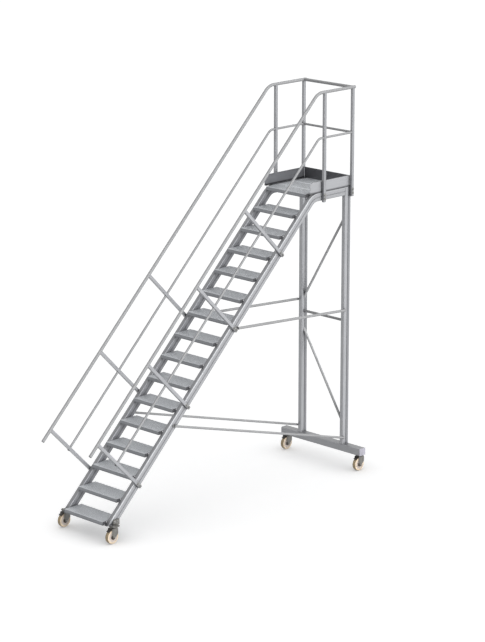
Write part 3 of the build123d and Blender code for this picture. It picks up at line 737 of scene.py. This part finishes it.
# Castor sections: rows of radius and distance from the middle or from the seat
TYRE_HALF = [(0.0568, 0.0225), (0.0600, 0.0230), (0.0645, 0.0230), (0.0655, 0.0224), (0.0680, 0.0222)]
TYRE_HALF += [(0.0680 + 0.0066 * sin(t), 0.0142 + 0.0080 * cos(t)) for t in (0.3, 0.6, 0.9, 1.2, 1.5)]
TYRE_HALF += [(0.0748, 0.0080), (0.0749, 0.0007), (0.0750, 0.0004)]
TREAD_HALF = 0.0125
RIM_LIP = [(0.0545, 0.0), (0.0545, 0.0008), (0.0535, 0.0012), (0.0485, 0.0012), (0.0478, 0.0)]
THREAD_GUARD = [(0.0270, 0.0), (0.0285, 0.0012), (0.0280, 0.0026)]
THREAD_GUARD += [(0.0200, 0.0034), (0.0105, 0.0034), (0.0095, 0.0)]
AXLE_WASHER = [(0.0135, 0.0), (0.0135, 0.0014), (0.0128, 0.0018), (0.0080, 0.0018)]
RACE_SEAL = [(0.0350, 0.1656), (0.0372, 0.1660), (0.0376, 0.1688), (0.0362, 0.1704), (0.0347, 0.1704)]
FORK_EYE, AXLE_NUT, AXLE_R, KING_NUT = 0.0150, 0.011, 0.0060, 0.022


def make_tyre(name, y, axle, body):
    tyre = Piece()
    profile = [(r, -h) for r, h in TYRE_HALF] + [(r, h) for r, h in reversed(TYRE_HALF)]
    tyre.lathe(axle, ACROSS, profile + [profile[0]], 96)

    def zone(face):
        """Tread, shoulder or side wall, by where the face lies and looks."""
        if abs(face.normal.y) > 0.6:
            return 2
        return int(abs(face.center.y - y) > TREAD_HALF)

    obj = tyre.done("tyre_" + name, (TYRE, TYRE_EDGE, TYRE_SIDE), body, zone)
    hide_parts("castor_%s_tyre" % name)


def make_wheel_ribs(name, axle, body):
    ribs = Piece()
    for face in SIDES:
        out = ACROSS * face
        base = axle + out * 0.0148
        for t in turns(10):
            run = Vector((cos(t), 0, sin(t)))
            wide = Vector((-sin(t), 0, cos(t))) * 0.0016
            near, far = base + run * 0.0235, base + run * 0.0475
            ribs.prism([near - wide * 1.4, far - wide, far + wide, near + wide * 1.4], out * 0.0045, 0.0004)
        ribs.lathe(axle + out * 0.0199, out, RIM_LIP, 64)
    ribs.done("wheel_ribs_" + name, WHEEL, body)


def make_thread_guards(name, axle, body):
    guard = Piece()
    for face in SIDES:
        guard.lathe(axle + ACROSS * face * 0.0248, ACROSS * face, THREAD_GUARD, 48)
    guard.done("thread_guards_" + name, HUB, body)


def make_fork(name, x, y, axle, body):
    """Two cheeks with a raised panel, washer and nut, the axle, the crown and the race's seal."""
    fork = Piece()
    eye = [(axle.x + FORK_EYE * cos(t), axle.z + FORK_EYE * sin(t)) for t in turns(32)]
    ring = [(axle.x + (a - axle.x) * 0.72, axle.z + (b - axle.z) * 0.72) for a, b in eye]
    block = [(x - 0.018 + a, 0.1307 + b) for a, b in round_rect(0.042, 0.0357, 0.012)]
    crown = [(x - 0.044, 0.150), (x - 0.038, 0.156), (x + 0.002, 0.156)]
    crown += [(x + 0.008, 0.150), (x + 0.010, 0.112)]
    for face in SIDES:
        outer = ACROSS * face
        fork.prism([Vector((a, y + face * 0.031, b)) for a, b in hull(eye + block)], outer * 0.004, 0.0006)
        fork.prism([Vector((a, y + face * 0.0349, b)) for a, b in hull(ring + crown)], outer * 0.0016, 0.0022)
        fork.lathe(axle + outer * 0.0364, outer, AXLE_WASHER, 28)
        nut = [(AXLE_NUT, 0.0), (AXLE_NUT, 0.0042), (AXLE_NUT * 0.84, 0.0052), (0.0, 0.0052)]
        fork.lathe(axle + outer * 0.0380, outer, nut, 6)
        fork.lathe(axle, outer, [(AXLE_R, 0.0), (AXLE_R, 0.0345)], 24)
    corners = ((x - 0.048, -0.0312), (x + 0.012, -0.0312), (x + 0.012, 0.0312), (x - 0.048, 0.0312))
    fork.prism([Vector((a, y + b, 0.1604)) for a, b in corners], UPRIGHT * 0.006, 0.0006)
    fork.lathe((x, y, 0.0), UPRIGHT, RACE_SEAL, 48)
    obj = fork.done("fork_" + name, STEEL, body)
    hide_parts("castor_%s_fork" % name)


def make_castor_fasteners(name, x, y):
    """King pin's nut under the crown and the plate bolts' heads."""
    head = Piece()
    nut = KING_NUT / sqrt(3)
    rows = [(nut, 0.0), (nut, 0.0054), (nut * 0.86, 0.0062), (0.0072, 0.0062)]
    head.lathe((x, y, 0.1598), -UPRIGHT, rows, 6)
    for sx in SIDES:
        for sy in SIDES:
            head.dome((x + sx * PLATE_BOLT_X, y + sy * PLATE_BOLT_Y, 0.1741), -UPRIGHT, 0.0078, 0.0012, 20)
    head.done("castor_fasteners_" + name, BOLT, "frame")


def make_pedal_ridges(name, axle, body):
    pedal = Piece()
    edge = ACROSS * 0.019
    for k in range(5):
        t = radians(104 + 5.5 * k)
        out = Vector((cos(t), 0, sin(t)))
        run = Vector((-sin(t), 0, cos(t))) * 0.0016
        spot = axle + out * 0.0848
        ridge = [spot - run - edge, spot + run - edge, spot + run + edge, spot - run + edge]
        pedal.prism(ridge, out * 0.0016, 0.0005)
    pedal.done("pedal_ridges_" + name, PEDAL, body)


make_rail_welds()
make_frame_welds()
make_tread_welds()
make_bolts()
make_tread_end_shade_caps()
make_toeboard_screws()
make_tube_plugs()
for name, x, y in CASTORS:
    swivel, wheel = "castor_%s_swivel" % name, "castor_%s_wheel" % name
    axle = Vector((x - TRAIL, y, WHEEL_R))
    make_tyre(name, y, axle, wheel)
    make_wheel_ribs(name, axle, wheel)
    make_thread_guards(name, axle, wheel)
    make_fork(name, x, y, axle, swivel)
    make_castor_fasteners(name, x, y)
    make_pedal_ridges(name, axle, swivel)


# Stage: floor, lights, camera

FILL = 0.17
FLOOR_HALF = 120.0
FLOOR_ALBEDO = 0.9
FLOOR_GLOW = 0.42
# Painted shadow on the floor: its darkest share and the reach of the occlusion that paints it
FLOOR_SHADOW_SHARE, FLOOR_SHADOW_REACH = 0.55, 0.40


def wire(tree, kind, inputs=(), **values):
    """New node with its settings; each input is a name or place, and a constant or a socket to link."""
    item = tree.nodes.new(kind)
    for key, value in values.items():
        setattr(item, key, value)
    for place, value in inputs:
        if isinstance(value, bpy.types.NodeSocket):
            tree.links.new(value, item.inputs[place])
        else:
            item.inputs[place].default_value = value
    return item


def shown_to_eye(tree):
    """One for camera, glossy and transmission rays, which see the plain white set, or else nought."""
    path = wire(tree, "ShaderNodeLightPath")
    total = path.outputs["Is Camera Ray"]
    for ray in ("Is Glossy Ray", "Is Transmission Ray"):
        most = wire(tree, "ShaderNodeMath", ((0, total), (1, path.outputs[ray])), operation="MAXIMUM")
        total = most.outputs[0]
    return total


world = bpy.data.worlds.new("studio")
bpy.context.scene.world = world
world.use_nodes = True
tree = world.node_tree
tree.nodes.clear()
seen = wire(tree, "ShaderNodeBackground", (("Color", (1.0, 1.0, 1.0, 1.0)), ("Strength", 1.0)))
fill = wire(tree, "ShaderNodeBackground", (("Color", (0.97, 0.98, 1.0, 1.0)), ("Strength", FILL)))
choices = ((0, shown_to_eye(tree)), (1, fill.outputs[0]), (2, seen.outputs[0]))
chosen = wire(tree, "ShaderNodeMixShader", choices)
wire(tree, "ShaderNodeOutputWorld", ((0, chosen.outputs[0]),))

floor_mat = bpy.data.materials.new("floor_white")
floor_mat.use_nodes = True
tree = floor_mat.node_tree
tree.nodes.clear()
# Painted shadow: occlusion darkens the floor's paint and its glow under and near the object.
contact_shadow = wire(tree, "ShaderNodeAmbientOcclusion", (("Distance", FLOOR_SHADOW_REACH),), samples=12)
span = wire(tree, "ShaderNodeMapRange", (("Value", contact_shadow.outputs["AO"]), ("To Min", FLOOR_SHADOW_SHARE)))
grey = span.outputs["Result"]
white = (FLOOR_ALBEDO, FLOOR_ALBEDO, FLOOR_ALBEDO, 1.0)
paint = wire(tree, "ShaderNodeMix", ((0, grey), (6, (0.0, 0.0, 0.0, 1.0)), (7, white)), data_type="RGBA")
matt = wire(tree, "ShaderNodeBsdfDiffuse", (("Color", paint.outputs[2]),))
bright = wire(tree, "ShaderNodeMath", ((0, shown_to_eye(tree)), (1, FLOOR_GLOW)), operation="MULTIPLY")
soft = wire(tree, "ShaderNodeMath", ((0, bright.outputs[0]), (1, grey)), operation="MULTIPLY")
glow = wire(tree, "ShaderNodeEmission", (("Strength", soft.outputs[0]),))
both = wire(tree, "ShaderNodeAddShader", ((0, matt.outputs[0]), (1, glow.outputs[0])))
wire(tree, "ShaderNodeOutputMaterial", ((0, both.outputs[0]),))

floor_mesh = bpy.data.meshes.new("floor")
corners = [(su * FLOOR_HALF, sv * FLOOR_HALF, 0) for su, sv in ((-1, -1), (1, -1), (1, 1), (-1, 1))]
floor_mesh.from_pydata(corners, [], [(0, 1, 2, 3)])
floor = bpy.data.objects.new("floor", floor_mesh)
floor_mesh.materials.append(floor_mat)
bpy.context.scene.collection.objects.link(floor)


def sun(name, toward, strength, angle):
    """Soft lamp: toward points from the object to the lamp; strength 1 turns a white face fully white."""
    data = bpy.data.lights.new(name, "SUN")
    data.energy = strength * pi
    data.angle = radians(angle)
    obj = bpy.data.objects.new(name, data)
    obj.rotation_euler = Vector(toward).to_track_quat("Z", "Y").to_euler()
    bpy.context.scene.collection.objects.link(obj)
    return obj


keys = [sun("key_right", (0.15, -0.97, 0.18), 0.75, 45.0), sun("key_front", (-0.15, -0.78, 0.60), 0.30, 40.0)]
sun("top_soft", (0.05, -0.1, 1.0), 0.55, 130.0)

# The keys pass the stringers and the rails by, so that the treads lie in even light.
casters = bpy.data.collections.new("key_shadow_casters")
bpy.context.scene.collection.children.link(casters)
for node, obj in NODES.items():
    if not node.startswith(("stringer", "stair_post", "handrail", "knee_rail")):
        casters.objects.link(obj)
for lamp in keys:
    lamp.light_linking.receiver_collection = lit
    lamp.light_linking.blocker_collection = casters

cam_data = bpy.data.cameras.new("camera")
cam_data.sensor_fit = "VERTICAL"
cam_data.sensor_height = 36.0
cam_data.lens = 141.91
cam_data.clip_end = 400.0
cam = bpy.data.objects.new("camera", cam_data)
yaw, pitch = radians(44.65), radians(14.92)
ahead = Vector((cos(yaw) * cos(pitch), sin(yaw) * cos(pitch), -sin(pitch)))
cam.location = (-18.3374, -18.716, 8.974)
cam.rotation_euler = ahead.to_track_quat("-Z", "Y").to_euler()
bpy.context.scene.collection.objects.link(cam)
bpy.context.scene.camera = cam
bpy.context.scene.view_settings.view_transform = "Standard"
